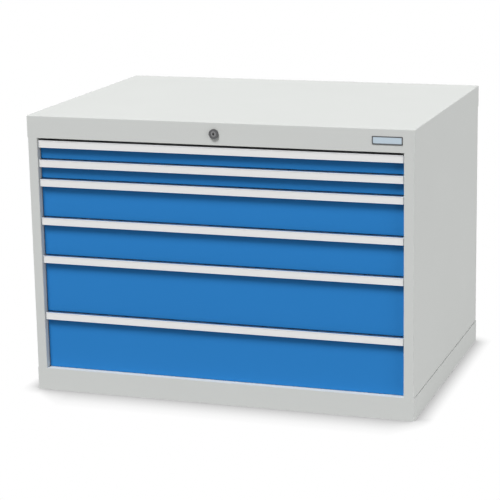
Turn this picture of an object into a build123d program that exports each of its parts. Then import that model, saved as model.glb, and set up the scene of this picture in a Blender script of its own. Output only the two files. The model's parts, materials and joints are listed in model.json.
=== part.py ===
"""Workshop drawer cabinet: a folded sheet-steel carcass with six drawers on telescopic slides.

Millimetres. +Z is up, the drawers open towards -Y, and the origin lies on the floor at the
centre of the cabinet's footprint.
"""
import os
from math import radians, sin, tan

from build123d import *

# Overall size
WIDTH = 1005
DEPTH = 736
BASE_HEIGHT = 57.5
HOOD_HEIGHT = 57
HOOD_GAP = 5.5
DRAWER_PITCHES = (50, 50, 100, 100, 150, 150)

# Carcass sheet metal
SHEET = 1.25
BEND_RADIUS = 2.5
CORNER_RADIUS = 4
SIDE_INSET = 2
STILE_WIDTH = 25.5
STILE_RETURN = 25
HOOD_RETURN = 22
BASE_TOP_RETURN = 26
BASE_FOOT_RETURN = 32
SIDE_RETURN = 20
REAR_FLANGE = 24
BACK_SHEET = 1
SEAT_GAP = 0.25

# Slotted posts that carry the slides
POST_WIDTH = 40
POST_SHEET = 1.5
FRONT_POST_SETBACK = 50
REAR_POST_SETBACK = 140
POST_SLOT_WIDTH = 12
POST_SLOT_HEIGHT = 5
POST_SLOT_PITCH = 50

# Drawers
DRAWER_FOOT_GAP = 0.5
DRAWER_HEAD_GAP = 0.75
DRAWER_SIDE_GAP = 1.5
FRONT_SETBACK = 16.5
FRONT_SHEET = 1.2
FRONT_DEPTH = 13
FRONT_BEND_RADIUS = 1.5
TRAY_SHEET = 1
TRAY_REAR_GAP = 38
TRAY_FLOOR_LIFT = 5
TRAY_TOP_GAP = 0.8
TRAY_HEM_WIDTH = 6
TRAY_HEM_DROP = 5
TRAY_SLOT_WIDTH = 3
TRAY_SLOT_HEIGHT = 16
TRAY_SLOT_DROP = 9
TRAY_SLOT_PITCH = 50
TRAY_SLOT_MARGIN = 30

# Handle strips, with their label channels and end caps
HANDLE_SETBACK = 4
HANDLE_HEIGHT = 19
HANDLE_WALL = 2
HANDLE_EDGE_RADIUS = 1
HANDLE_LAP = 12
HANDLE_LEG = 14
HANDLE_LIP = 4.5
LABEL_RIM = 1.8
LABEL_GROOVE = 0.9
LABEL_LIP = 0.5
LABEL_THICKNESS = 0.6
LABEL_CLEARANCE = 0.1
CAP_THICKNESS = 1.5

# Telescopic slides, three members a side with ball cages between them
SLIDE_SETBACK = 30
SLIDE_CENTRE = 25
SLIDE_HEIGHT = 42
SLIDE_WALL = 1.5
SLIDE_DEPTH = 12.5
INNER_DEPTH = 12
OUTER_MEMBER_REAR_GAP = 43
MIDDLE_MEMBER_REAR_GAP = 19
MIDDLE_MEMBER_SETBACK = 1
INNER_MEMBER_SETBACK = 9
BALL_GAP = 2.5
MEMBER_GAP = 1
INNER_MEMBER_GAP = 3
SLIDE_LIP_GAP = 0.3
SLIDE_HOOK_WIDTH = 10
SLIDE_HOOK_SHEET = 2
SLIDE_HOOK_DROP = 2
SLIDE_HOOK_CLEARANCE = 0.1
CAGE_LENGTH = 250
CAGE_CLEARANCE = 0.25
CAGE_WEB = 0.5
CAGE_MARGIN = 12

# Central lock
BEZEL_RADIUS = 12
BEZEL_HEIGHT = 6
BEZEL_CHAMFER = 1
BARREL_RADIUS = 9.5
BARREL_LENGTH = 30
PLUG_RADIUS = 7
PLUG_CLEARANCE = 0.1
PLUG_RECESS = 0.8
KEYWAY_WIDTH = 1.6
KEYWAY_HEIGHT = 8
KEYWAY_DEPTH = 6
NUT_RADIUS = 15
NUT_THICKNESS = 5
SHAFT_RADIUS = 4
SHAFT_CLEARANCE = 0.1
LOCK_LIFT = 10
CRANK_ANGLE = 45
CRANK_THICKNESS = 4
CRANK_RIM = 5
PIN_RADIUS = 2.5
PIN_LENGTH = 8
PIN_CLEARANCE = 0.5
LOCK_BAR_WIDTH = 30
LOCK_BAR_THICKNESS = 2.5
LOCK_BAR_SETBACK = 62
LOCK_BAR_TOP = 14
CATCH_THICKNESS = 3
CATCH_NECK = 8
CATCH_HOOK = 10
CATCH_CLEARANCE = 1
CATCH_REACH = 16
CATCH_FOOT = 24
GUIDE_WIDTH = 50
GUIDE_SHEET = 3
GUIDE_LEG = 25
GUIDE_DROP = 10

# Name plate on the top rail
PLATE_WIDTH = 75
PLATE_HEIGHT = 20
PLATE_THICKNESS = 1.5
PLATE_RIM = 1.8
PLATE_RECESS = 0.5
PLATE_EDGE_GAP = 2.5

# Derived places
STACK_HEIGHT = sum(DRAWER_PITCHES)
HOOD_Z = BASE_HEIGHT + STACK_HEIGHT + HOOD_GAP
HEIGHT = HOOD_Z + HOOD_HEIGHT
FRONT = -DEPTH / 2
REAR = DEPTH / 2
SIDE_X = WIDTH / 2 - SIDE_INSET
BACK_Y = REAR - SIDE_INSET
BACK_SEAT_Y = BACK_Y - BACK_SHEET
OPENING_X = SIDE_X - STILE_WIDTH
DRAWER_X = OPENING_X - DRAWER_SIDE_GAP
FRONT_Y = FRONT + FRONT_SETBACK
POST_PLACES = (FRONT + FRONT_POST_SETBACK, REAR - REAR_POST_SETBACK)
TRAY_FRONT_Y = FRONT_Y + FRONT_SHEET
LOCK_BAR_Y = BACK_Y - LOCK_BAR_SETBACK
TRAY_REAR_Y = LOCK_BAR_Y - TRAY_REAR_GAP
TRAY_LENGTH = TRAY_REAR_Y - TRAY_FRONT_Y
HANDLE_Y = FRONT + HANDLE_SETBACK
HANDLE_DEPTH = FRONT_Y - HANDLE_Y
LOCK_Z = HOOD_Z + HOOD_HEIGHT / 2
PIN_DROP = LOCK_LIFT / 2
PIN_X = PIN_DROP / tan(radians(CRANK_ANGLE))
PIN_Z = LOCK_Z - PIN_DROP
CRANK_RADIUS = PIN_DROP / sin(radians(CRANK_ANGLE))

# Slide sections, measured inwards from the opening's edge to the tray's wall
OUTER_WEB_X = OPENING_X
OUTER_OPEN_X = OUTER_WEB_X - SLIDE_DEPTH
HOOK_LIP_X = OUTER_WEB_X + POST_SHEET + SLIDE_HOOK_CLEARANCE
MIDDLE_WEB_X = OUTER_WEB_X - SLIDE_WALL - MEMBER_GAP
MIDDLE_OPEN_X = MIDDLE_WEB_X - SLIDE_DEPTH
MIDDLE_HEIGHT = SLIDE_HEIGHT - 2 * (SLIDE_WALL + BALL_GAP)
INNER_HEIGHT = MIDDLE_HEIGHT - 2 * (SLIDE_WALL + BALL_GAP)
INNER_OPEN_X = MIDDLE_WEB_X - SLIDE_WALL - INNER_MEMBER_GAP
INNER_WEB_X = INNER_OPEN_X - INNER_DEPTH
TRAY_X = INNER_WEB_X
SLIDE_FRONT_Y = FRONT + SLIDE_SETBACK
OUTER_REAR_Y = BACK_SEAT_Y - OUTER_MEMBER_REAR_GAP
MIDDLE_FRONT_Y = SLIDE_FRONT_Y + MIDDLE_MEMBER_SETBACK
MIDDLE_REAR_Y = OUTER_REAR_Y - MIDDLE_MEMBER_REAR_GAP
INNER_FRONT_Y = TRAY_FRONT_Y + INNER_MEMBER_SETBACK
INNER_REAR_Y = TRAY_REAR_Y - MIDDLE_MEMBER_SETBACK
SLIDE_LIP = BALL_GAP - SLIDE_LIP_GAP


def cross_section(y):
    """The upright plane across the cabinet at depth y; extruding goes towards the front."""
    return Plane.XZ.offset(-y)


def save(piece, name):
    """Label a finished piece and write its file."""
    piece.label = name
    export_step(piece, f"parts/{name}.step")


def folded_sheet(plane, points, thickness):
    """A bent sheet's section: the skin runs through the points and thickens to their left."""
    with BuildSketch(plane) as section:
        with BuildLine():
            FilletPolyline(*points, radius=BEND_RADIUS)
            offset(amount=thickness, side=Side.LEFT)
        make_face()
    return section.sketch


def lipped_channel(plane, web_x, open_x, height, z):
    """A slide member's section: a web at web_x, open at open_x, with lips that hold the balls."""
    toward = 1 if open_x > web_x else -1
    wall = toward * SLIDE_WALL
    outer, inner = height / 2, height / 2 - SLIDE_WALL
    tip = inner - SLIDE_LIP
    upper = [
        (web_x + wall, z + inner),
        (open_x - wall, z + inner),
        (open_x - wall, z + tip),
        (open_x, z + tip),
        (open_x, z + outer),
        (web_x, z + outer),
    ]
    lower = [(x, 2 * z - point_z) for x, point_z in reversed(upper)]
    with BuildSketch(plane) as section:
        with BuildLine():
            Polyline(*upper, *lower, close=True)
        make_face()
    return section.sketch


def cage_channel(plane, web_x, open_x, inside_height, z):
    """A ball cage's section: a thin web between two bars that fill the ball races."""
    inner = inside_height / 2 + CAGE_CLEARANCE
    outer = inside_height / 2 + BALL_GAP - CAGE_CLEARANCE
    with BuildSketch(plane) as section:
        with BuildLine():
            Polyline(
                (web_x, z + outer),
                (open_x, z + outer),
                (open_x, z + inner),
                (web_x - CAGE_WEB, z + inner),
                (web_x - CAGE_WEB, z - inner),
                (open_x, z - inner),
                (open_x, z - outer),
                (web_x, z - outer),
                close=True,
            )
        make_face()
    return section.sketch


def rim(z, reach):
    """The section of a flat return that runs round the inside of the hood or the base."""
    with BuildSketch(Plane.XY.offset(z)) as section:
        RectangleRounded(WIDTH, DEPTH, CORNER_RADIUS)
        Rectangle(WIDTH - 2 * reach, DEPTH - 2 * reach, mode=Mode.SUBTRACT)
    return section.sketch


# Top hood: a tray turned upside down, its flanges folded in at the lower edge
with BuildPart() as top_hood:
    with BuildSketch(Plane.XY.offset(HOOD_Z)):
        RectangleRounded(WIDTH, DEPTH, CORNER_RADIUS)
    extrude(amount=HOOD_HEIGHT)
    fillet(top_hood.faces().sort_by(Axis.Z)[-1].edges(), radius=BEND_RADIUS)
    offset(amount=-SHEET, openings=top_hood.faces().sort_by(Axis.Z)[0])
    extrude(rim(HOOD_Z, HOOD_RETURN), amount=SHEET)
    with BuildSketch(cross_section(FRONT + SHEET)):
        with Locations((0, LOCK_Z)):
            Circle(BARREL_RADIUS)
    extrude(amount=SHEET, mode=Mode.SUBTRACT)

# Base frame: a plinth that stands on its folded foot and carries the side panels
with BuildPart() as base_frame:
    with BuildSketch():
        RectangleRounded(WIDTH, DEPTH, CORNER_RADIUS)
        RectangleRounded(WIDTH - 2 * SHEET, DEPTH - 2 * SHEET, CORNER_RADIUS - SHEET, mode=Mode.SUBTRACT)
    extrude(amount=BASE_HEIGHT)
    extrude(rim(0, BASE_FOOT_RETURN), amount=SHEET)
    extrude(rim(BASE_HEIGHT - SHEET, BASE_TOP_RETURN), amount=SHEET)

# Floor plate, held under the base frame's upper return
with BuildPart() as floor_plate:
    with BuildSketch(Plane.XY.offset(BASE_HEIGHT - 2 * SHEET)):
        Rectangle(WIDTH - 2 * (SHEET + SEAT_GAP), DEPTH - 2 * (SHEET + SEAT_GAP))
    extrude(amount=SHEET)
    chamfer(floor_plate.edges().filter_by(Axis.Z), CORNER_RADIUS)

# Side panels: one sheet folded into the front stile, the wall and the rear flange
with BuildPart() as side_panel_right:
    wall_outline = (
        (OPENING_X, FRONT + STILE_RETURN),
        (OPENING_X, FRONT),
        (SIDE_X, FRONT),
        (SIDE_X, BACK_SEAT_Y),
        (SIDE_X - REAR_FLANGE, BACK_SEAT_Y),
    )
    extrude(folded_sheet(Plane.XY.offset(BASE_HEIGHT), wall_outline, SHEET), amount=HOOD_Z - BASE_HEIGHT)
    for z in (BASE_HEIGHT, HOOD_Z - SHEET):
        with BuildSketch(Plane.XY.offset(z)):
            with Locations((SIDE_X - SIDE_RETURN / 2 - SHEET / 2, 0)):
                Rectangle(SIDE_RETURN - SHEET, DEPTH - 2 * BASE_TOP_RETURN)
        extrude(amount=SHEET)

with BuildPart() as side_panel_left:
    mirror(side_panel_right.part, about=Plane.YZ)

# Back panel, laid on the side panels' rear flanges
with BuildPart() as back_panel:
    with BuildSketch(Plane.XY.offset(BASE_HEIGHT)):
        with Locations((0, BACK_Y - BACK_SHEET / 2)):
            Rectangle(2 * SIDE_X, BACK_SHEET)
    extrude(amount=HOOD_Z - BASE_HEIGHT)

# Slotted posts: two upright channels on each side, open towards the side panel
POST_FOOT_Z = BASE_HEIGHT + SHEET
POST_LENGTH = HOOD_Z - SHEET - POST_FOOT_Z
POST_SLOTS = int((POST_LENGTH - SLIDE_CENTRE) // POST_SLOT_PITCH) + 1
POST_WALL_X = SIDE_X - SHEET

with BuildPart() as posts_right:
    for post_y in POST_PLACES:
        post_outline = (
            (POST_WALL_X, post_y + POST_WIDTH),
            (OPENING_X, post_y + POST_WIDTH),
            (OPENING_X, post_y),
            (POST_WALL_X, post_y),
        )
        extrude(folded_sheet(Plane.XY.offset(POST_FOOT_Z), post_outline, POST_SHEET), amount=POST_LENGTH)
        slot_y = post_y + POST_WIDTH / 2
        slot_levels = [BASE_HEIGHT + SLIDE_CENTRE + step * POST_SLOT_PITCH for step in range(POST_SLOTS)]
        with BuildSketch(Plane.YZ.offset(OPENING_X)):
            with Locations(*[(slot_y, level) for level in slot_levels]):
                Rectangle(POST_SLOT_WIDTH, POST_SLOT_HEIGHT)
        extrude(amount=POST_SHEET, mode=Mode.SUBTRACT)

with BuildPart() as posts_left:
    mirror(posts_right.part, about=Plane.YZ)

# Outer slide members, one for each drawer on each side, hooked into the posts' slots
drawer_floors = []
level = BASE_HEIGHT + STACK_HEIGHT
for pitch in DRAWER_PITCHES:
    level -= pitch
    drawer_floors.append(level)

with BuildPart() as slide_members_right:
    for floor_z in drawer_floors:
        section = lipped_channel(
            cross_section(OUTER_REAR_Y), OUTER_WEB_X, OUTER_OPEN_X, SLIDE_HEIGHT, floor_z + SLIDE_CENTRE
        )
        extrude(section, amount=OUTER_REAR_Y - SLIDE_FRONT_Y)
        seat_z = floor_z + SLIDE_CENTRE - POST_SLOT_HEIGHT / 2 + SLIDE_HOOK_CLEARANCE
        for post_y in POST_PLACES:
            with BuildSketch(cross_section(post_y + (POST_WIDTH + SLIDE_HOOK_WIDTH) / 2)):
                with BuildLine():
                    Polyline(
                        (OUTER_WEB_X, seat_z + SLIDE_HOOK_SHEET),
                        (HOOK_LIP_X + SLIDE_HOOK_SHEET, seat_z + SLIDE_HOOK_SHEET),
                        (HOOK_LIP_X + SLIDE_HOOK_SHEET, seat_z - SLIDE_HOOK_DROP),
                        (HOOK_LIP_X, seat_z - SLIDE_HOOK_DROP),
                        (HOOK_LIP_X, seat_z),
                        (OUTER_WEB_X, seat_z),
                        close=True,
                    )
                make_face()
            extrude(amount=SLIDE_HOOK_WIDTH)

with BuildPart() as slide_members_left:
    mirror(slide_members_right.part, about=Plane.YZ)


def middle_members(z):
    """Both middle slide members of one drawer, with the ball cages that ride on them."""
    with BuildPart() as members:
        member = lipped_channel(
            cross_section(MIDDLE_REAR_Y), MIDDLE_WEB_X, MIDDLE_OPEN_X, MIDDLE_HEIGHT, z
        )
        extrude(member, amount=MIDDLE_REAR_Y - MIDDLE_FRONT_Y)
        rear_cage = cage_channel(
            cross_section(MIDDLE_REAR_Y - CAGE_MARGIN),
            MIDDLE_WEB_X + (MEMBER_GAP + CAGE_WEB) / 2,
            OUTER_OPEN_X + SLIDE_WALL + MEMBER_GAP,
            MIDDLE_HEIGHT,
            z,
        )
        extrude(rear_cage, amount=CAGE_LENGTH)
        front_cage = cage_channel(
            cross_section(MIDDLE_FRONT_Y + CAGE_MARGIN + CAGE_LENGTH),
            INNER_OPEN_X + (INNER_MEMBER_GAP + CAGE_WEB) / 2,
            MIDDLE_OPEN_X + SLIDE_WALL + MEMBER_GAP,
            INNER_HEIGHT,
            z,
        )
        extrude(front_cage, amount=CAGE_LENGTH)
        mirror(about=Plane.YZ)
    return members.part


def inner_members(z):
    """Both inner slide members of one drawer, fixed to the tray's walls."""
    with BuildPart() as members:
        member = lipped_channel(cross_section(INNER_REAR_Y), INNER_WEB_X, INNER_OPEN_X, INNER_HEIGHT, z)
        extrude(member, amount=INNER_REAR_Y - INNER_FRONT_Y)
        mirror(about=Plane.YZ)
    return members.part


def handle_top(floor_z, pitch):
    """The height of a drawer's handle strip, its highest piece."""
    return floor_z + pitch - DRAWER_HEAD_GAP


def front_top(floor_z, pitch):
    """The height of a drawer's face, under the strip that laps over it."""
    return handle_top(floor_z, pitch) - HANDLE_WALL


def tray(floor_z, pitch):
    """A drawer's body: an open box with a hemmed rim, slotted side walls and a lock catch."""
    bottom = floor_z + TRAY_FLOOR_LIFT
    top = front_top(floor_z, pitch) - FRONT_SHEET - TRAY_TOP_GAP
    length_y = (TRAY_FRONT_Y + TRAY_REAR_Y) / 2
    width = 2 * TRAY_X
    hem = TRAY_SHEET + TRAY_HEM_WIDTH
    with BuildPart() as body:
        with BuildSketch(Plane.XY.offset(bottom)):
            with Locations((0, length_y)):
                Rectangle(width, TRAY_LENGTH)
        extrude(amount=top - bottom)
        offset(amount=-TRAY_SHEET, openings=body.faces().sort_by(Axis.Z)[-1])
        with BuildSketch(Plane.XY.offset(top - TRAY_SHEET)):
            with Locations((0, length_y)):
                Rectangle(width, TRAY_LENGTH)
                Rectangle(width - 2 * hem, TRAY_LENGTH - 2 * hem, mode=Mode.SUBTRACT)
        extrude(amount=TRAY_SHEET)
        with BuildSketch(Plane.XY.offset(top - TRAY_HEM_DROP)):
            with Locations((0, length_y)):
                Rectangle(width - 2 * (hem - TRAY_SHEET), TRAY_LENGTH - 2 * (hem - TRAY_SHEET))
                Rectangle(width - 2 * hem, TRAY_LENGTH - 2 * hem, mode=Mode.SUBTRACT)
        extrude(amount=TRAY_HEM_DROP)
        slots = int((TRAY_LENGTH - 2 * TRAY_SLOT_MARGIN) // TRAY_SLOT_PITCH)
        slot_z = top - TRAY_SLOT_DROP - TRAY_SLOT_HEIGHT / 2
        for wall_x in (TRAY_X, -TRAY_X + TRAY_SHEET):
            wall = Plane(origin=(wall_x, length_y, slot_z), x_dir=(0, 1, 0), z_dir=(1, 0, 0))
            with BuildSketch(wall):
                with GridLocations(TRAY_SLOT_PITCH, TRAY_SLOT_PITCH, slots, 1):
                    Rectangle(TRAY_SLOT_WIDTH, TRAY_SLOT_HEIGHT)
            extrude(amount=-TRAY_SHEET, mode=Mode.SUBTRACT)
    return body.part


def catch(floor_z):
    """The hook behind a drawer that the lock bar holds: a foot, a neck and a downward hook."""
    centre = floor_z + SLIDE_CENTRE
    neck_end = LOCK_BAR_Y + LOCK_BAR_THICKNESS + CATCH_CLEARANCE
    with BuildPart() as hook:
        with BuildSketch(Plane.YZ.offset(-CATCH_THICKNESS / 2)):
            with BuildLine():
                Polyline(
                    (TRAY_REAR_Y, centre + CATCH_NECK),
                    (neck_end + CATCH_REACH, centre + CATCH_NECK),
                    (neck_end + CATCH_REACH, centre),
                    (neck_end + CATCH_REACH / 2, centre - CATCH_HOOK),
                    (neck_end, centre - CATCH_HOOK),
                    (neck_end, centre),
                    (TRAY_REAR_Y + CATCH_THICKNESS, centre),
                    (TRAY_REAR_Y + CATCH_THICKNESS, centre - CATCH_HOOK),
                    (TRAY_REAR_Y, centre - CATCH_HOOK),
                    close=True,
                )
            make_face()
        extrude(amount=CATCH_THICKNESS)
        with BuildSketch(cross_section(TRAY_REAR_Y + CATCH_THICKNESS)):
            with Locations((0, centre + (CATCH_NECK - CATCH_HOOK) / 2)):
                Rectangle(CATCH_FOOT, CATCH_NECK + CATCH_HOOK)
        extrude(amount=CATCH_THICKNESS)
    return hook.part


def drawer_front(floor_z, pitch):
    """A drawer's face: a shallow pan, open at the back, folded on all four edges."""
    bottom = floor_z + DRAWER_FOOT_GAP
    top = front_top(floor_z, pitch)
    with BuildPart() as pan:
        with BuildSketch(cross_section(FRONT_Y + FRONT_DEPTH)):
            with Locations((0, (bottom + top) / 2)):
                Rectangle(2 * DRAWER_X, top - bottom)
        extrude(amount=FRONT_DEPTH)
        fillet(pan.faces().sort_by(Axis.Y)[0].edges(), radius=FRONT_BEND_RADIUS)
        with BuildSketch(cross_section(FRONT_Y + FRONT_DEPTH)):
            with Locations((0, (bottom + top) / 2)):
                Rectangle(2 * (DRAWER_X - FRONT_SHEET), top - bottom - 2 * FRONT_SHEET)
        extrude(amount=FRONT_DEPTH - FRONT_SHEET, mode=Mode.SUBTRACT)
    return pan.part


def handle(floor_z, pitch):
    """The full-width grip: an extruded section with a label channel, a finger lip and a leg."""
    top = handle_top(floor_z, pitch)
    low = top - HANDLE_HEIGHT
    face, back = HANDLE_Y, FRONT_Y
    groove = LABEL_RIM - LABEL_GROOVE
    groove_y = face + LABEL_LIP + LABEL_THICKNESS + LABEL_CLEARANCE
    with BuildPart() as grip:
        with BuildSketch(Plane.YZ.offset(-DRAWER_X + CAP_THICKNESS)) as section:
            with BuildLine():
                Polyline(
                    (face, top),
                    (back + HANDLE_LAP, top),
                    (back + HANDLE_LAP, top - HANDLE_WALL),
                    (back, top - HANDLE_WALL),
                    (back, top - HANDLE_LEG),
                    (back - HANDLE_WALL, top - HANDLE_LEG),
                    (back - HANDLE_WALL, top - HANDLE_WALL),
                    (face + HANDLE_WALL, top - HANDLE_WALL),
                    (face + HANDLE_WALL, low + HANDLE_WALL),
                    (face + HANDLE_LIP, low + HANDLE_WALL),
                    (face + HANDLE_LIP, low),
                    (face, low),
                    (face, low + LABEL_RIM),
                    (face + LABEL_LIP, low + LABEL_RIM),
                    (face + LABEL_LIP, low + groove),
                    (groove_y, low + groove),
                    (groove_y, top - groove),
                    (face + LABEL_LIP, top - groove),
                    (face + LABEL_LIP, top - LABEL_RIM),
                    (face, top - LABEL_RIM),
                    close=True,
                )
            make_face()
            rims = section.vertices().group_by(Axis.X)[0].sort_by(Axis.Y)
            fillet([rims[0], rims[-1]], radius=HANDLE_EDGE_RADIUS)
        extrude(amount=2 * (DRAWER_X - CAP_THICKNESS))
    return grip.part


def label_strip(floor_z, pitch):
    """The label in the handle's channel, under its clear cover."""
    centre = handle_top(floor_z, pitch) - HANDLE_HEIGHT / 2
    height = HANDLE_HEIGHT - 2 * (LABEL_RIM - LABEL_GROOVE + LABEL_CLEARANCE)
    with BuildPart() as label:
        with BuildSketch(cross_section(HANDLE_Y + LABEL_LIP + LABEL_THICKNESS + LABEL_CLEARANCE)):
            with Locations((0, centre)):
                Rectangle(2 * (DRAWER_X - CAP_THICKNESS), height)
        extrude(amount=LABEL_THICKNESS)
    return label.part


def end_caps(floor_z, pitch):
    """The two plastic caps that close the handle's ends."""
    centre = handle_top(floor_z, pitch) - HANDLE_HEIGHT / 2
    with BuildPart() as caps:
        with BuildSketch(Plane.YZ.offset(DRAWER_X - CAP_THICKNESS)):
            with Locations((HANDLE_Y + HANDLE_DEPTH / 2, centre)):
                Rectangle(HANDLE_DEPTH, HANDLE_HEIGHT)
        extrude(amount=CAP_THICKNESS)
        chamfer(caps.edges().filter_by(Axis.X).group_by(Axis.Y)[0], HANDLE_EDGE_RADIUS)
        mirror(about=Plane.YZ)
    return caps.part


# Lock bar: a flat bar that rises to trap the drawers' hooks
LOCK_BAR_FOOT_Z = BASE_HEIGHT - SHEET + SEAT_GAP
PIN_SLOT_HALF = PIN_RADIUS + PIN_CLEARANCE
LOCK_BAR_HEAD_Z = PIN_Z + LOCK_BAR_TOP

with BuildPart() as lock_bar:
    with BuildSketch(cross_section(LOCK_BAR_Y + LOCK_BAR_THICKNESS)):
        with Locations((0, (LOCK_BAR_FOOT_Z + LOCK_BAR_HEAD_Z) / 2)):
            Rectangle(LOCK_BAR_WIDTH, LOCK_BAR_HEAD_Z - LOCK_BAR_FOOT_Z)
        for floor_z in drawer_floors:
            hook_low = floor_z + SLIDE_CENTRE - CATCH_HOOK - CATCH_CLEARANCE
            hook_high = floor_z + SLIDE_CENTRE + CATCH_NECK + CATCH_CLEARANCE
            with Locations((0, (hook_low + hook_high) / 2)):
                Rectangle(CATCH_THICKNESS + 2 * CATCH_CLEARANCE, hook_high - hook_low, mode=Mode.SUBTRACT)
        with Locations(((PIN_X + CRANK_RADIUS) / 2, PIN_Z)):
            Rectangle(CRANK_RADIUS - PIN_X + 2 * PIN_SLOT_HALF, 2 * PIN_SLOT_HALF, mode=Mode.SUBTRACT)
    extrude(amount=LOCK_BAR_THICKNESS)

# Guides: brackets on the back panel behind every second drawer, slotted for the lock bar
with BuildPart() as lock_guides:
    for floor_z, pitch in list(zip(drawer_floors, DRAWER_PITCHES))[::-2]:
        guide_z = floor_z + pitch - GUIDE_DROP
        with BuildSketch(Plane.YZ.offset(-GUIDE_WIDTH / 2)):
            with BuildLine():
                Polyline(
                    (LOCK_BAR_Y - GUIDE_SHEET - SEAT_GAP, guide_z + GUIDE_SHEET),
                    (BACK_SEAT_Y, guide_z + GUIDE_SHEET),
                    (BACK_SEAT_Y, guide_z + GUIDE_SHEET - GUIDE_LEG),
                    (BACK_SEAT_Y - GUIDE_SHEET, guide_z + GUIDE_SHEET - GUIDE_LEG),
                    (BACK_SEAT_Y - GUIDE_SHEET, guide_z),
                    (LOCK_BAR_Y - GUIDE_SHEET - SEAT_GAP, guide_z),
                    close=True,
                )
            make_face()
        extrude(amount=GUIDE_WIDTH)
        with BuildSketch(Plane.XY.offset(guide_z)):
            with Locations((0, LOCK_BAR_Y + LOCK_BAR_THICKNESS / 2)):
                Rectangle(LOCK_BAR_WIDTH + 2 * SEAT_GAP, LOCK_BAR_THICKNESS + 2 * SEAT_GAP)
        extrude(amount=GUIDE_SHEET, mode=Mode.SUBTRACT)

# Lock cylinder: the housing's bezel stands in front of the rail, a nut holds it from behind
BEZEL_FACE_Y = FRONT - BEZEL_HEIGHT
BARREL_REAR_Y = FRONT + BARREL_LENGTH
PLUG_FACE_Y = BEZEL_FACE_Y + PLUG_RECESS
CRANK_FRONT_Y = LOCK_BAR_Y - SEAT_GAP - CRANK_THICKNESS

with BuildPart() as lock_housing:
    with BuildSketch(cross_section(FRONT)):
        with Locations((0, LOCK_Z)):
            Circle(BEZEL_RADIUS)
    extrude(amount=BEZEL_HEIGHT)
    chamfer(lock_housing.faces().sort_by(Axis.Y)[0].edges(), BEZEL_CHAMFER)
    with BuildSketch(cross_section(BARREL_REAR_Y)):
        with Locations((0, LOCK_Z)):
            Circle(BARREL_RADIUS)
    extrude(amount=BARREL_LENGTH)
    with BuildSketch(cross_section(BARREL_REAR_Y)):
        with Locations((0, LOCK_Z)):
            Circle(PLUG_RADIUS + PLUG_CLEARANCE)
    extrude(amount=BARREL_LENGTH + BEZEL_HEIGHT, mode=Mode.SUBTRACT)

with BuildPart() as lock_nut:
    with BuildSketch(cross_section(FRONT + SHEET + NUT_THICKNESS)):
        with Locations((0, LOCK_Z)):
            RegularPolygon(NUT_RADIUS, 6)
            Circle(BARREL_RADIUS, mode=Mode.SUBTRACT)
    extrude(amount=NUT_THICKNESS)

with BuildPart() as lock_plug:
    with BuildSketch(cross_section(BARREL_REAR_Y)):
        with Locations((0, LOCK_Z)):
            Circle(PLUG_RADIUS)
    extrude(amount=BARREL_REAR_Y - PLUG_FACE_Y)
    with BuildSketch(cross_section(PLUG_FACE_Y + KEYWAY_DEPTH)):
        with Locations((0, LOCK_Z)):
            Rectangle(KEYWAY_WIDTH, KEYWAY_HEIGHT)
    extrude(amount=KEYWAY_DEPTH, mode=Mode.SUBTRACT)

# Lock shaft: it carries the plug's turn to the back, where its crank pin lifts the lock bar
with BuildPart() as lock_shaft:
    with BuildSketch(cross_section(CRANK_FRONT_Y)):
        with Locations((0, LOCK_Z)):
            Circle(SHAFT_RADIUS)
    extrude(amount=CRANK_FRONT_Y - BARREL_REAR_Y)
    with BuildSketch(cross_section(CRANK_FRONT_Y + CRANK_THICKNESS)):
        with Locations((0, LOCK_Z)):
            Circle(CRANK_RADIUS + CRANK_RIM)
    extrude(amount=CRANK_THICKNESS)
    with BuildSketch(cross_section(CRANK_FRONT_Y + CRANK_THICKNESS + PIN_LENGTH)):
        with Locations((PIN_X, PIN_Z)):
            Circle(PIN_RADIUS)
    extrude(amount=PIN_LENGTH)

# Bearing plate that hangs from the hood and holds the shaft in front of its crank
BEARING_HEIGHT = HEIGHT - SHEET - LOCK_Z + GUIDE_LEG / 2

with BuildPart() as lock_bearing:
    with BuildSketch(cross_section(CRANK_FRONT_Y - SEAT_GAP)):
        with Locations((0, HEIGHT - SHEET - BEARING_HEIGHT / 2)):
            Rectangle(GUIDE_WIDTH, BEARING_HEIGHT)
    extrude(amount=GUIDE_SHEET)
    with BuildSketch(Plane.XY.offset(HEIGHT - SHEET)):
        with Locations((0, CRANK_FRONT_Y - SEAT_GAP - GUIDE_LEG / 2)):
            Rectangle(GUIDE_WIDTH, GUIDE_LEG)
    extrude(amount=-GUIDE_SHEET)
    with BuildSketch(cross_section(CRANK_FRONT_Y - SEAT_GAP)):
        with Locations((0, LOCK_Z)):
            Circle(SHAFT_RADIUS + SHAFT_CLEARANCE)
    extrude(amount=GUIDE_SHEET, mode=Mode.SUBTRACT)

# Name plate: a bare face inside a thin raised frame
with BuildPart() as name_plate:
    with BuildSketch(cross_section(FRONT)):
        with Locations((OPENING_X - PLATE_EDGE_GAP - PLATE_WIDTH / 2, LOCK_Z)):
            RectangleRounded(PLATE_WIDTH, PLATE_HEIGHT, PLATE_RIM)
    extrude(amount=PLATE_THICKNESS)
    with BuildSketch(cross_section(FRONT - PLATE_THICKNESS + PLATE_RECESS)):
        with Locations((OPENING_X - PLATE_EDGE_GAP - PLATE_WIDTH / 2, LOCK_Z)):
            Rectangle(PLATE_WIDTH - 2 * PLATE_RIM, PLATE_HEIGHT - 2 * PLATE_RIM)
    extrude(amount=PLATE_RECESS, mode=Mode.SUBTRACT)

# Write every piece
os.makedirs("parts", exist_ok=True)

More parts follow.
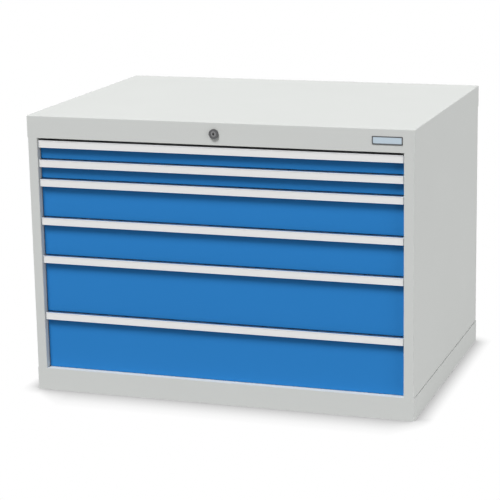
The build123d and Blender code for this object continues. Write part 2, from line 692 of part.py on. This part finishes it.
save(top_hood.part, "top_hood")
save(base_frame.part, "base_frame")
save(floor_plate.part, "floor_plate")
save(side_panel_right.part, "side_panel_right")
save(side_panel_left.part, "side_panel_left")
save(back_panel.part, "back_panel")
save(posts_right.part, "posts_right")
save(posts_left.part, "posts_left")
save(slide_members_right.part, "slide_members_right")
save(slide_members_left.part, "slide_members_left")
save(lock_housing.part, "lock_housing")
save(lock_nut.part, "lock_nut")
save(lock_plug.part, "lock_plug")
save(lock_shaft.part, "lock_shaft")
save(lock_bearing.part, "lock_bearing")
save(lock_bar.part, "lock_bar")
save(lock_guides.part, "lock_guides")
save(name_plate.part, "name_plate")

for number, (floor_z, pitch) in enumerate(zip(drawer_floors, DRAWER_PITCHES), start=1):
    slide_z = floor_z + SLIDE_CENTRE
    save(Compound(children=[tray(floor_z, pitch), catch(floor_z)]), f"drawer_{number}_tray")
    save(drawer_front(floor_z, pitch), f"drawer_{number}_front")
    save(handle(floor_z, pitch), f"drawer_{number}_handle")
    save(label_strip(floor_z, pitch), f"drawer_{number}_label")
    save(end_caps(floor_z, pitch), f"drawer_{number}_caps")
    save(inner_members(slide_z), f"drawer_{number}_runners")
    save(middle_members(slide_z), f"drawer_{number}_slides")
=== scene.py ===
"""Looks of a steel drawer cabinet: powder-coated carcass, blue drawers, anodised handle strips.

Metres. +Z is up, the drawers open towards -Y, and the origin lies on the floor at the centre of
the cabinet's footprint.
"""

import json
from math import acos, cos, pi, radians, sin, tan

import bmesh
import bpy
from mathutils import Matrix, Vector


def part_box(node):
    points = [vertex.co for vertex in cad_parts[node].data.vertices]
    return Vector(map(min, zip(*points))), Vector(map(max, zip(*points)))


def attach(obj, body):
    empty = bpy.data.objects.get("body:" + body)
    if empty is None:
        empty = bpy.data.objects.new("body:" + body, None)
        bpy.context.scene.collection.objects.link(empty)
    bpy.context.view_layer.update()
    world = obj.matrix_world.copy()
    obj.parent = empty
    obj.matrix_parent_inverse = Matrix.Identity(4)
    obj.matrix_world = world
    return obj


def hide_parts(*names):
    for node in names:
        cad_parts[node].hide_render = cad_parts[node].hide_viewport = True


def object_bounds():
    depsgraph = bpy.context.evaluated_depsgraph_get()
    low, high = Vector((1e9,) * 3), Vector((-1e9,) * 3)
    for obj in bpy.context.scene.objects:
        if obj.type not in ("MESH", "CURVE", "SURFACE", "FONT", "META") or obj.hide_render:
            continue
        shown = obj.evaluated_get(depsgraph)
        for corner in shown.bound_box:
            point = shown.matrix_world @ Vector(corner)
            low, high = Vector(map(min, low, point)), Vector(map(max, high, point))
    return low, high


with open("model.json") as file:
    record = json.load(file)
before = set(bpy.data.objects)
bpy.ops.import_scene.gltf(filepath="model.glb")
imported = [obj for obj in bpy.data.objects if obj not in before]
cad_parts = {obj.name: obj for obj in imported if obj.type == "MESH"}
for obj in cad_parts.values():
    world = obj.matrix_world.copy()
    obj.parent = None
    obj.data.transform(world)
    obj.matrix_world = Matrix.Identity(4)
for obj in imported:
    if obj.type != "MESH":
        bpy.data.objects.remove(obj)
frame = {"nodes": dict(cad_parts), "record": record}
cad_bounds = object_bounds()
nodes = frame["nodes"]
slot_of = {part["node"]: part["material_slot"] for part in frame["record"]["subparts"]}

DRAWERS = range(1, 7)
MM = 0.001


# Materials

FIELD_LOW = 0.35
FIELD_HIGH = 0.65


def coordinates(material, scale=(1, 1, 1)):
    """Object coordinates in metres, stretched by scale."""
    tree = material.node_tree
    source = tree.nodes.new("ShaderNodeTexCoord")
    mapping = tree.nodes.new("ShaderNodeMapping")
    mapping.inputs["Scale"].default_value = scale
    tree.links.new(source.outputs["Object"], mapping.inputs["Vector"])
    return mapping.outputs["Vector"]


def noise(material, vector, scale, detail=2.0):
    """A noise field whose cells are about 1 / scale metres wide."""
    node = material.node_tree.nodes.new("ShaderNodeTexNoise")
    node.inputs["Scale"].default_value = scale
    node.inputs["Detail"].default_value = detail
    material.node_tree.links.new(vector, node.inputs["Vector"])
    return node.outputs["Fac"]


def spread(material, field, low, high):
    """Map the middle of a noise field's range to values between low and high."""
    node = material.node_tree.nodes.new("ShaderNodeMapRange")
    node.inputs["From Min"].default_value = FIELD_LOW
    node.inputs["From Max"].default_value = FIELD_HIGH
    node.inputs["To Min"].default_value = low
    node.inputs["To Max"].default_value = high
    material.node_tree.links.new(field, node.inputs["Value"])
    return node.outputs["Result"]


def blend_colours(material, factor, first, second):
    """Mix two colours by a field."""
    node = material.node_tree.nodes.new("ShaderNodeMix")
    node.data_type = "RGBA"
    node.inputs["A"].default_value = (*first, 1)
    node.inputs["B"].default_value = (*second, 1)
    material.node_tree.links.new(factor, node.inputs["Factor"])
    return node.outputs["Result"]


def relief(material, height, depth, strength, over=None):
    """Turn a field into a relief of the given depth, over another relief if there is one."""
    node = material.node_tree.nodes.new("ShaderNodeBump")
    node.inputs["Strength"].default_value = strength
    node.inputs["Distance"].default_value = depth
    material.node_tree.links.new(height, node.inputs["Height"])
    if over is not None:
        material.node_tree.links.new(over, node.inputs["Normal"])
    return node.outputs["Normal"]


def new_finish(name, **settings):
    """A principled material with the given settings on its shader."""
    material = bpy.data.materials.new(name)
    material.use_nodes = True
    shader = material.node_tree.nodes["Principled BSDF"]
    for socket, value in settings.items():
        shader.inputs[socket.replace("_", " ")].default_value = value
    return material, shader


def feed(material, shader, **fields):
    """Link fields to the shader's sockets."""
    for socket, field in fields.items():
        material.node_tree.links.new(field, shader.inputs[socket.replace("_", " ")])


def shaded(colour, amount):
    """A colour made lighter or darker by a factor."""
    return tuple(channel * amount for channel in colour)


TONE_SCALE = 2.5
SHEEN_SCALE = 9
PEEL_SCALE = 520
GRAIN_SCALE = 2600


def powder_coat(name, colour, gloss, peel_depth, shine):
    """Sprayed and baked powder: orange peel about 2 mm wide over a fine grain."""
    material, shader = new_finish(name, IOR=1.5, Specular_IOR_Level=shine)
    place = coordinates(material)
    tone = blend_colours(
        material, noise(material, place, TONE_SCALE), shaded(colour, 0.985), shaded(colour, 1.015)
    )
    grain = relief(material, noise(material, place, GRAIN_SCALE, 1), peel_depth / 3, 0.25)
    peel = relief(material, noise(material, place, PEEL_SCALE, 2), peel_depth, 0.4, over=grain)
    sheen = spread(material, noise(material, place, SHEEN_SCALE), gloss - 0.03, gloss + 0.03)
    feed(material, shader, Base_Color=tone, Roughness=sheen, Normal=peel)
    return material


def anodised_aluminium(name, colour, roughness):
    """A drawn profile: satin metal with fine lines along its length."""
    material, shader = new_finish(name, Metallic=1.0)
    along = coordinates(material, (1.5, 900, 900))
    lines = noise(material, along, 3.0, 3)
    tone = blend_colours(material, lines, shaded(colour, 0.96), shaded(colour, 1.03))
    feed(
        material,
        shader,
        Base_Color=tone,
        Roughness=spread(material, lines, roughness - 0.05, roughness + 0.07),
        Normal=relief(material, lines, 0.00002, 0.5),
    )
    return material


def covered_label(name, colour):
    """Blank paper under a clear cover."""
    material, shader = new_finish(name, Roughness=0.6, Coat_Weight=1.0, Coat_Roughness=0.06)
    place = coordinates(material)
    fibres = noise(material, coordinates(material, (1, 3, 3)), 700, 3)
    tone = blend_colours(material, fibres, shaded(colour, 0.985), shaded(colour, 1.01))
    waves = relief(material, noise(material, place, 14, 1), 0.0004, 0.35)
    feed(material, shader, Base_Color=tone, Coat_Normal=waves)
    return material


def moulded_plastic(name, colour, roughness):
    """Injection-moulded plastic with a spark-eroded grain."""
    material, shader = new_finish(name, IOR=1.48)
    place = coordinates(material)
    tone = blend_colours(
        material, noise(material, place, 60), shaded(colour, 0.97), shaded(colour, 1.02)
    )
    speckle = noise(material, place, 300)
    feed(
        material,
        shader,
        Base_Color=tone,
        Roughness=spread(material, speckle, roughness - 0.05, roughness + 0.05),
        Normal=relief(material, noise(material, place, 2400, 2), 0.00005, 0.6),
    )
    return material


def zinc_plate(name, colour):
    """Bright zinc on rolled strip: soft blotches, rolling lines and a trace of grease."""
    material, shader = new_finish(name, Metallic=1.0)
    place = coordinates(material)
    blotches = noise(material, place, 38, 3)
    rolling = noise(material, coordinates(material, (500, 6, 500)), 2.0, 2)
    tone = blend_colours(material, blotches, shaded(colour, 0.86), shaded(colour, 1.08))
    feed(
        material,
        shader,
        Base_Color=tone,
        Roughness=spread(material, blotches, 0.26, 0.44),
        Normal=relief(material, rolling, 0.00002, 0.5),
    )
    return material


def satin_chrome(name, colour):
    """Brushed nickel-chrome, turned round the lock's axis."""
    material, shader = new_finish(name, Metallic=1.0)
    place = coordinates(material, (1, 0.02, 1))
    turning = noise(material, place, 1800, 2)
    feed(
        material,
        shader,
        Base_Color=blend_colours(material, turning, shaded(colour, 0.9), shaded(colour, 1.05)),
        Roughness=spread(material, turning, 0.24, 0.36),
        Normal=relief(material, turning, 0.00002, 0.4),
    )
    return material


def brushed_plate(name, colour):
    """A thin plate, brushed along its length."""
    material, shader = new_finish(name, Metallic=0.6)
    lines = noise(material, coordinates(material, (4, 1, 1200)), 2.0, 3)
    feed(
        material,
        shader,
        Base_Color=blend_colours(material, lines, shaded(colour, 0.95), shaded(colour, 1.04)),
        Roughness=spread(material, lines, 0.38, 0.5),
        Normal=relief(material, lines, 0.00001, 0.5),
    )
    return material


finishes = {
    "carcass_grey": powder_coat("carcass_grey", (0.65, 0.665, 0.65), 0.6, 0.00006, shine=0.04),
    "tray_grey": powder_coat("tray_grey", (0.61, 0.625, 0.61), 0.6, 0.00005, shine=0.04),
    "drawer_blue": powder_coat("drawer_blue", (0.027, 0.215, 0.57), 0.5, 0.00006, shine=0.08),
    "handle_aluminium": anodised_aluminium("handle_aluminium", (0.9, 0.915, 0.935), 0.4),
    "label_strip": covered_label("label_strip", (0.84, 0.84, 0.835)),
    "cap_plastic": moulded_plastic("cap_plastic", (0.68, 0.7, 0.72), 0.45),
    "zinc_steel": zinc_plate("zinc_steel", (0.62, 0.63, 0.64)),
    "lock_chrome": satin_chrome("lock_chrome", (0.13, 0.13, 0.135)),
    "plate_aluminium": brushed_plate("plate_aluminium", (0.53, 0.63, 0.71)),
}
plug_chrome = satin_chrome("plug_chrome", (0.24, 0.24, 0.245))
# Dark finish for the plate's frame: painted shade along the rim
plate_shade_edge = moulded_plastic("plate_shade_edge", (0.09, 0.095, 0.1), 0.4)
# Near-black finish for the disc that paints the shade in the keyhole
keyhole_shade_black = moulded_plastic("keyhole_shade_black", (0.012, 0.012, 0.012), 0.5)
ball_steel = zinc_plate("ball_steel", (0.72, 0.73, 0.74))

for node, piece in nodes.items():
    piece.data.materials.clear()
    piece.data.materials.append(finishes[slot_of[node]])
nodes["lock_plug"].data.materials[0] = plug_chrome


# Shapes shared by the pieces

def finished_piece(name, mesh, body, finish):
    """Put a mesh in the scene as a piece of the object."""
    mesh.materials.clear()
    mesh.materials.append(finish)
    piece = bpy.data.objects.new(name, mesh)
    bpy.context.scene.collection.objects.link(piece)
    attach(piece, body)
    return piece


def closed_mesh(name, work):
    """Write a bmesh out with its faces turned outwards."""
    bmesh.ops.recalc_face_normals(work, faces=work.faces)
    mesh = bpy.data.meshes.new(name)
    work.to_mesh(mesh)
    work.free()
    return mesh


def add_prism(work, section, front, rear):
    """Extrude an outline of (x, z) points along Y."""
    loops = [[work.verts.new((x, y, z)) for x, z in section] for y in (front, rear)]
    for index in range(len(section)):
        following = (index + 1) % len(section)
        work.faces.new(
            (loops[0][index], loops[0][following], loops[1][following], loops[1][index])
        )
    for loop in loops:
        work.faces.new(loop)


def rounded_outline(centre, width, height, radius, steps=6):
    """The (x, z) points of a rectangle with round corners."""
    points = []
    for corner in range(4):
        turn = corner * pi / 2
        across = 1 if corner in (0, 3) else -1
        upward = 1 if corner in (0, 1) else -1
        for step in range(steps + 1):
            angle = turn + step / steps * pi / 2
            points.append(
                (
                    centre[0] + across * (width / 2 - radius) + radius * cos(angle),
                    centre[1] + upward * (height / 2 - radius) + radius * sin(angle),
                )
            )
    return points


def add_rings(work, rings, ring_closed=False):
    """Skin a row of rings of points, each with as many points as the next."""
    loops = [[work.verts.new(point) for point in ring] for ring in rings]
    pairs = list(zip(loops, loops[1:]))
    if ring_closed:
        pairs.append((loops[-1], loops[0]))
    for first, second in pairs:
        for index in range(len(first)):
            following = (index + 1) % len(first)
            work.faces.new((first[index], first[following], second[following], second[index]))
    if not ring_closed:
        work.faces.new(loops[0])
        work.faces.new(loops[-1])


# Name plate: a rounded frame whose dark colour paints the shade line at the plate's rim, round a
# brushed face, with nothing on it

PLATE_FRAME = 2.4 * MM
PLATE_EDGE_ROUND = 0.3 * MM
PLATE_FACE_DEPTH = 0.5 * MM
PLATE_CORNER = 1.8 * MM


def plate_ring(inset, y, radius):
    """The name plate's outline at one depth, moved inwards by inset."""
    low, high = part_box("name_plate")
    centre = ((low[0] + high[0]) / 2, (low[2] + high[2]) / 2)
    outline = rounded_outline(
        centre, high[0] - low[0] - 2 * inset, high[2] - low[2] - 2 * inset, radius
    )
    return [(x, y, z) for x, z in outline]


def name_plate():
    """The frame with soft edges and, a little behind its front, the face."""
    front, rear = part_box("name_plate")[0][1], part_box("name_plate")[1][1]
    soft = PLATE_EDGE_ROUND
    frame_work = bmesh.new()
    add_rings(
        frame_work,
        [
            plate_ring(0, rear, PLATE_CORNER),
            plate_ring(0, front + soft, PLATE_CORNER),
            plate_ring(0.3 * soft, front + 0.3 * soft, PLATE_CORNER),
            plate_ring(soft, front, PLATE_CORNER - soft),
            plate_ring(PLATE_FRAME - soft, front, 2.5 * soft),
            plate_ring(PLATE_FRAME - 0.3 * soft, front + 0.3 * soft, 2 * soft),
            plate_ring(PLATE_FRAME, front + soft, 1.6 * soft),
            plate_ring(PLATE_FRAME, rear, 1.6 * soft),
        ],
        ring_closed=True,
    )
    edge = finished_piece(
        "name_plate_frame", closed_mesh("name_plate_frame", frame_work), "cabinet",
        plate_shade_edge,
    )
    face_work = bmesh.new()
    add_rings(
        face_work,
        [
            plate_ring(PLATE_FRAME, rear, 1.6 * soft),
            plate_ring(PLATE_FRAME, front + PLATE_FACE_DEPTH + soft, 1.6 * soft),
            plate_ring(PLATE_FRAME + soft, front + PLATE_FACE_DEPTH, 1.6 * soft),
        ],
    )
    face = finished_piece(
        "name_plate_face", closed_mesh("name_plate_face", face_work), "cabinet",
        finishes["plate_aluminium"],
    )
    for piece in (edge, face):
        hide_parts("name_plate")


name_plate()


# Painted keyhole shade: a dark disc let into the plug's face, split by the keyway, that paints
# the shade in the keyhole

KEYHOLE_SHADE_RADIUS = 2.9 * MM
KEYHOLE_SHADE_PROUD = 0.1 * MM
KEYWAY_HALF_WIDTH = 0.85 * MM
KEYHOLE_SHADE_STEPS = 8


def painted_keyhole_shade():
    """Two halves of a dark disc, one on each side of the keyway, that paint the keyhole's shade.
    """
    low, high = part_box("lock_plug")
    centre = ((low[0] + high[0]) / 2, (low[2] + high[2]) / 2)
    reach = acos(KEYWAY_HALF_WIDTH / KEYHOLE_SHADE_RADIUS)
    work = bmesh.new()
    for side in (1, -1):
        outline = [
            (
                centre[0] + side * KEYHOLE_SHADE_RADIUS * cos(reach * step / KEYHOLE_SHADE_STEPS),
                centre[1] + KEYHOLE_SHADE_RADIUS * sin(reach * step / KEYHOLE_SHADE_STEPS),
            )
            for step in range(-KEYHOLE_SHADE_STEPS, KEYHOLE_SHADE_STEPS + 1)
        ]
        add_prism(work, outline, low[1] - KEYHOLE_SHADE_PROUD, low[1] + KEYHOLE_SHADE_PROUD)
    finished_piece(
        "painted_keyhole_shade", closed_mesh("painted_keyhole_shade", work), "lock_cylinder", keyhole_shade_black
    )


painted_keyhole_shade()


# Slides: middle members as in the frame, with pressed ball cages and rows of steel balls

CAGE_SHEET = 0.5 * MM
RACE_FILL = 2 * MM
BALL_DIAMETER = 2.4 * MM
BALL_PITCH = 8 * MM
BALL_SEGMENTS = 8
BALL_RINGS = 6
WELD_DISTANCE = 0.001 * MM
MEMBER_SHARE = 0.9


def islands(work):
    """The connected groups of faces in a bmesh."""
    left = set(work.faces)
    groups = []
    while left:
        group, edge_of_group = set(), [left.pop()]
        while edge_of_group:
            face = edge_of_group.pop()
            group.add(face)
            for edge in face.edges:
                for neighbour in edge.link_faces:
                    if neighbour in left:
                        left.remove(neighbour)
                        edge_of_group.append(neighbour)
        groups.append(group)
    return groups


def box_of(group):
    """The low and high corner of a group of faces."""
    corners = [vertex.co for face in group for vertex in face.verts]
    low = Vector([min(corner[axis] for corner in corners) for axis in range(3)])
    high = Vector([max(corner[axis] for corner in corners) for axis in range(3)])
    return low, high


def ball_row_tree():
    """Steel balls set at an even pitch along every edge of the mesh that it is given."""
    tree = bpy.data.node_groups.new("ball_rows", "GeometryNodeTree")
    tree.interface.new_socket("Geometry", in_out="INPUT", socket_type="NodeSocketGeometry")
    for name, value in (("Ball Diameter", BALL_DIAMETER), ("Ball Pitch", BALL_PITCH)):
        socket = tree.interface.new_socket(name, in_out="INPUT", socket_type="NodeSocketFloat")
        socket.default_value = value
    tree.interface.new_socket("Ball Finish", in_out="INPUT", socket_type="NodeSocketMaterial")
    tree.interface.new_socket("Geometry", in_out="OUTPUT", socket_type="NodeSocketGeometry")
    given = tree.nodes.new("NodeGroupInput")
    result = tree.nodes.new("NodeGroupOutput")
    curves = tree.nodes.new("GeometryNodeMeshToCurve")
    stations = tree.nodes.new("GeometryNodeResampleCurve")
    stations.mode = "LENGTH"
    half = tree.nodes.new("ShaderNodeMath")
    half.operation = "MULTIPLY"
    half.inputs[1].default_value = 0.5
    ball = tree.nodes.new("GeometryNodeMeshUVSphere")
    ball.inputs["Segments"].default_value = BALL_SEGMENTS
    ball.inputs["Rings"].default_value = BALL_RINGS
    row = tree.nodes.new("GeometryNodeInstanceOnPoints")
    real = tree.nodes.new("GeometryNodeRealizeInstances")
    smooth = tree.nodes.new("GeometryNodeSetShadeSmooth")
    coated = tree.nodes.new("GeometryNodeSetMaterial")
    link = tree.links.new
    link(given.outputs["Geometry"], curves.inputs["Mesh"])
    link(curves.outputs["Curve"], stations.inputs["Curve"])
    link(given.outputs["Ball Pitch"], stations.inputs["Length"])
    link(given.outputs["Ball Diameter"], half.inputs[0])
    link(half.outputs["Value"], ball.inputs["Radius"])
    link(stations.outputs["Curve"], row.inputs["Points"])
    link(ball.outputs["Mesh"], row.inputs["Instance"])
    link(row.outputs["Instances"], real.inputs["Geometry"])
    link(real.outputs["Geometry"], smooth.inputs["Geometry"])
    link(smooth.outputs["Geometry"], coated.inputs["Geometry"])
    link(given.outputs["Ball Finish"], coated.inputs["Material"])
    link(coated.outputs["Geometry"], result.inputs["Geometry"])
    return tree


def balls_along(name, tree, rows):
    """A plain mesh of the balls along the given rows, each a pair of end points."""
    track = bpy.data.meshes.new(name + "_track")
    track.from_pydata(
        [point for row in rows for point in row],
        [(2 * index, 2 * index + 1) for index in range(len(rows))],
        [],
    )
    holder = bpy.data.objects.new(name + "_track", track)
    bpy.context.scene.collection.objects.link(holder)
    modifier = holder.modifiers.new("ball_rows", "NODES")
    modifier.node_group = tree
    sockets = {
        item.name: item.identifier for item in tree.interface.items_tree if item.in_out == "INPUT"
    }
    modifier[sockets["Ball Diameter"]] = BALL_DIAMETER
    modifier[sockets["Ball Pitch"]] = BALL_PITCH
    modifier[sockets["Ball Finish"]] = ball_steel
    evaluated = holder.evaluated_get(bpy.context.evaluated_depsgraph_get())
    mesh = bpy.data.meshes.new_from_object(evaluated)
    holder.modifiers.remove(modifier)
    bpy.data.objects.remove(holder)
    return mesh


def slide_pieces(number, tree):
    """The two middle members of a drawer's slides, their four cages and the balls in them."""
    node = f"drawer_{number}_slides"
    members = bmesh.new()
    members.from_mesh(nodes[node].data)
    bmesh.ops.remove_doubles(members, verts=members.verts, dist=WELD_DISTANCE)
    cages = bmesh.new()
    rows = []
    member_length = max(high.y - low.y for low, high in map(box_of, islands(members)))
    for group in islands(members):
        low, high = box_of(group)
        if high.y - low.y > MEMBER_SHARE * member_length:
            continue
        side = 1 if low.x > 0 else -1
        web, open_edge = (high.x, low.x) if side > 0 else (low.x, high.x)
        # The frame's cage fills its race; the pressed one lies in the middle of it
        top, foot = high.z - RACE_FILL / 2, low.z + RACE_FILL / 2
        inside = web - side * CAGE_SHEET
        section = [
            (web, top + CAGE_SHEET / 2),
            (open_edge, top + CAGE_SHEET / 2),
            (open_edge, top - CAGE_SHEET / 2),
            (inside, top - CAGE_SHEET / 2),
            (inside, foot + CAGE_SHEET / 2),
            (open_edge, foot + CAGE_SHEET / 2),
            (open_edge, foot - CAGE_SHEET / 2),
            (web, foot - CAGE_SHEET / 2),
        ]
        add_prism(cages, section, low.y, high.y)
        track_x = (web + open_edge) / 2
        for z in (top, foot):
            rows.append(
                (
                    (track_x, low.y + BALL_PITCH / 2, z),
                    (track_x, high.y - BALL_PITCH / 2, z),
                )
            )
        bmesh.ops.delete(members, geom=list(group), context="FACES")
    body = f"slides_{number}"
    pieces = [
        finished_piece(
            f"middle_members_{number}", closed_mesh(f"middle_members_{number}", members), body,
            finishes["zinc_steel"],
        ),
        finished_piece(
            f"ball_cages_{number}", closed_mesh(f"ball_cages_{number}", cages), body,
            finishes["zinc_steel"],
        ),
        finished_piece(
            f"slide_balls_{number}", balls_along(f"slide_balls_{number}", tree, rows), body,
            ball_steel,
        ),
    ]
    for piece in pieces:
        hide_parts(node)


ball_rows = ball_row_tree()
for drawer in DRAWERS:
    slide_pieces(drawer, ball_rows)


# Stage, light and camera

FLOOR_SIZE = 30
FLOOR_BOUNCE = (0.33, 0.33, 0.33)
FLOOR_EVEN_LEVEL = 1.35
SHADOW_REACH_IN_FRONT = 0.125
SHADOW_REACH_BESIDE = 0.047
SHADOW_SHIFT = 0.03
SHADOW_SAMPLES = 16
FRONT_FADE = (-0.02, 0.03)
CORNER_FADE = (-0.07, 0.01)
SKY_LEVEL = 0.07
LAMP_DISTANCE = 60

# Each lamp's azimuth, elevation and the angle that it fills, in degrees, and its level
LAMPS = {
    "key_high": (-20, 58, 18, 0.9),
    "key_low": (-20, 46, 16, 0.166),
    "right_fill": (105, 12, 24, 0.39),
    "front_fill": (65, 12, 24, 0.24),
    "left_fill": (-100, 12, 24, 0.3),
    "rear_fill": (180, 12, 24, 0.35),
}


def worked_out(tree, operation, first, second=None):
    """One step of arithmetic on sockets or plain numbers."""
    node = tree.nodes.new("ShaderNodeMath")
    node.operation = operation
    for socket, value in zip(node.inputs, (first, second)):
        if isinstance(value, float):
            socket.default_value = value
        elif value is not None:
            tree.links.new(value, socket)
    return node.outputs["Value"]


def ramped(tree, value, start, end, low=0.0, high=1.0):
    """Go from low to high while the value goes from start to end."""
    node = tree.nodes.new("ShaderNodeMapRange")
    node.inputs["From Min"].default_value = start
    node.inputs["From Max"].default_value = end
    node.inputs["To Min"].default_value = low
    node.inputs["To Max"].default_value = high
    tree.links.new(value, node.inputs["Value"])
    return node.outputs["Result"]


def seen_directly(tree):
    """1 for rays that show a thing as it is seen, straight, mirrored or through glass, and 0
    for those that light another surface."""
    path = tree.nodes.new("ShaderNodeLightPath")
    shown = worked_out(
        tree, "MAXIMUM", path.outputs["Is Camera Ray"], path.outputs["Is Glossy Ray"]
    )
    shown = worked_out(tree, "MAXIMUM", shown, path.outputs["Is Transmission Ray"])
    unscattered = worked_out(tree, "LESS_THAN", path.outputs["Diffuse Depth"], 0.5)
    return worked_out(tree, "MULTIPLY", shown, unscattered)


def shadow_reach(tree):
    """Far in front of the base and near beside it, shifted a little away from the key lamps."""
    low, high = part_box("base_frame")
    place = tree.nodes.new("ShaderNodeTexCoord")
    parts = tree.nodes.new("ShaderNodeSeparateXYZ")
    tree.links.new(place.outputs["Object"], parts.inputs["Vector"])
    behind_front = ramped(
        tree, parts.outputs["Y"], low[1] + FRONT_FADE[0], low[1] + FRONT_FADE[1]
    )
    shifted = worked_out(tree, "SUBTRACT", parts.outputs["X"], SHADOW_SHIFT)
    past_corner = ramped(
        tree,
        worked_out(tree, "ABSOLUTE", shifted),
        high[0] + CORNER_FADE[0],
        high[0] + CORNER_FADE[1],
    )
    beside = worked_out(tree, "MAXIMUM", behind_front, past_corner)
    return ramped(tree, beside, 0.0, 1.0, SHADOW_REACH_IN_FRONT, SHADOW_REACH_BESIDE)


def floor_finish():
    """White with a soft shadow round the base where it is seen, and a faint bounce where it
    only lights: half of it from the lamps, and half even, as from a wide pale room."""
    material = bpy.data.materials.new("floor_white")
    material.use_nodes = True
    tree = material.node_tree
    tree.nodes.clear()
    lit = tree.nodes.new("ShaderNodeBsdfDiffuse")
    lit.inputs["Color"].default_value = (*FLOOR_BOUNCE, 1)
    even = tree.nodes.new("ShaderNodeEmission")
    even.inputs["Color"].default_value = (*FLOOR_BOUNCE, 1)
    even.inputs["Strength"].default_value = FLOOR_EVEN_LEVEL
    bounce = tree.nodes.new("ShaderNodeMixShader")
    tree.links.new(lit.outputs["BSDF"], bounce.inputs[1])
    tree.links.new(even.outputs["Emission"], bounce.inputs[2])
    shadow = tree.nodes.new("ShaderNodeAmbientOcclusion")
    shadow.samples = SHADOW_SAMPLES
    tree.links.new(shadow_reach(tree), shadow.inputs["Distance"])
    white = tree.nodes.new("ShaderNodeEmission")
    tree.links.new(shadow.outputs["Color"], white.inputs["Color"])
    mix = tree.nodes.new("ShaderNodeMixShader")
    output = tree.nodes.new("ShaderNodeOutputMaterial")
    tree.links.new(seen_directly(tree), mix.inputs[0])
    tree.links.new(bounce.outputs["Shader"], mix.inputs[1])
    tree.links.new(white.outputs["Emission"], mix.inputs[2])
    tree.links.new(mix.outputs["Shader"], output.inputs["Surface"])
    return material


def floor():
    half = FLOOR_SIZE / 2
    mesh = bpy.data.meshes.new("floor")
    corners = [(-half, -half, 0), (half, -half, 0), (half, half, 0), (-half, half, 0)]
    mesh.from_pydata(corners, [], [(0, 1, 2, 3)])
    mesh.materials.append(floor_finish())
    piece = bpy.data.objects.new("floor", mesh)
    bpy.context.scene.collection.objects.link(piece)


def surroundings():
    """White round the scene where it is seen, and a softer white where it only lights."""
    world = bpy.data.worlds.new("surroundings")
    bpy.context.scene.world = world
    world.use_nodes = True
    tree = world.node_tree
    tree.nodes.clear()
    seen = tree.nodes.new("ShaderNodeBackground")
    seen.inputs["Strength"].default_value = 1.0
    lighting = tree.nodes.new("ShaderNodeBackground")
    lighting.inputs["Strength"].default_value = SKY_LEVEL
    for background in (seen, lighting):
        background.inputs["Color"].default_value = (1, 1, 1, 1)
    mix = tree.nodes.new("ShaderNodeMixShader")
    output = tree.nodes.new("ShaderNodeOutputWorld")
    tree.links.new(seen_directly(tree), mix.inputs[0])
    tree.links.new(lighting.outputs["Background"], mix.inputs[1])
    tree.links.new(seen.outputs["Background"], mix.inputs[2])
    tree.links.new(mix.outputs["Shader"], output.inputs["Surface"])


def soft_box(name, azimuth, elevation, spread_angle, level):
    """A square lamp aimed at the cabinet's middle; spread_angle is the angle that it fills, and
    level the light that it alone would give a white surface that faces it. Gloss shows the white
    surroundings in its place."""
    size = 2 * LAMP_DISTANCE * tan(spread_angle / 2)
    lamp = bpy.data.lights.new(name, "AREA")
    lamp.shape = "SQUARE"
    lamp.size = size
    lamp.energy = level * (pi * LAMP_DISTANCE) ** 2
    holder = bpy.data.objects.new(name, lamp)
    aim = Vector((0, 0, cad_bounds[1][2] / 2))
    direction = Vector(
        (sin(azimuth) * cos(elevation), -cos(azimuth) * cos(elevation), sin(elevation))
    )
    holder.location = aim + direction * LAMP_DISTANCE
    holder.rotation_euler = direction.to_track_quat("Z", "Y").to_euler()
    holder.visible_camera = False
    holder.visible_glossy = False
    bpy.context.scene.collection.objects.link(holder)


floor()
surroundings()
for lamp_name, (azimuth, elevation, filled, level) in LAMPS.items():
    soft_box(lamp_name, radians(azimuth), radians(elevation), radians(filled), level)

# The camera's place and turn, solved from the corners and edges in the photograph
IMAGE_WIDTH = 500
SENSOR_WIDTH = 36
CLIP_END = 100
FOCAL_PIXELS = 1825.364
CAMERA_PLACE = Vector((1.49583, -4.49957, 1.44217))
CAMERA_YAW = 0.32855
CAMERA_PITCH = 0.23318
CAMERA_ROLL = -0.0184


def camera():
    ahead = Vector(
        (
            -sin(CAMERA_YAW) * cos(CAMERA_PITCH),
            cos(CAMERA_YAW) * cos(CAMERA_PITCH),
            -sin(CAMERA_PITCH),
        )
    )
    level_right = ahead.cross(Vector((0, 0, 1))).normalized()
    level_up = level_right.cross(ahead)
    right = cos(CAMERA_ROLL) * level_right + sin(CAMERA_ROLL) * level_up
    up = -sin(CAMERA_ROLL) * level_right + cos(CAMERA_ROLL) * level_up
    lens = bpy.data.cameras.new("camera")
    lens.sensor_fit = "HORIZONTAL"
    lens.sensor_width = SENSOR_WIDTH
    lens.lens = FOCAL_PIXELS / IMAGE_WIDTH * SENSOR_WIDTH
    lens.clip_end = CLIP_END
    holder = bpy.data.objects.new("camera", lens)
    turn = Matrix((right, up, -ahead)).transposed()
    holder.matrix_world = Matrix.Translation(CAMERA_PLACE) @ turn.to_4x4()
    bpy.context.scene.collection.objects.link(holder)
    bpy.context.scene.camera = holder


camera()
bpy.context.scene.view_settings.view_transform = "Standard"
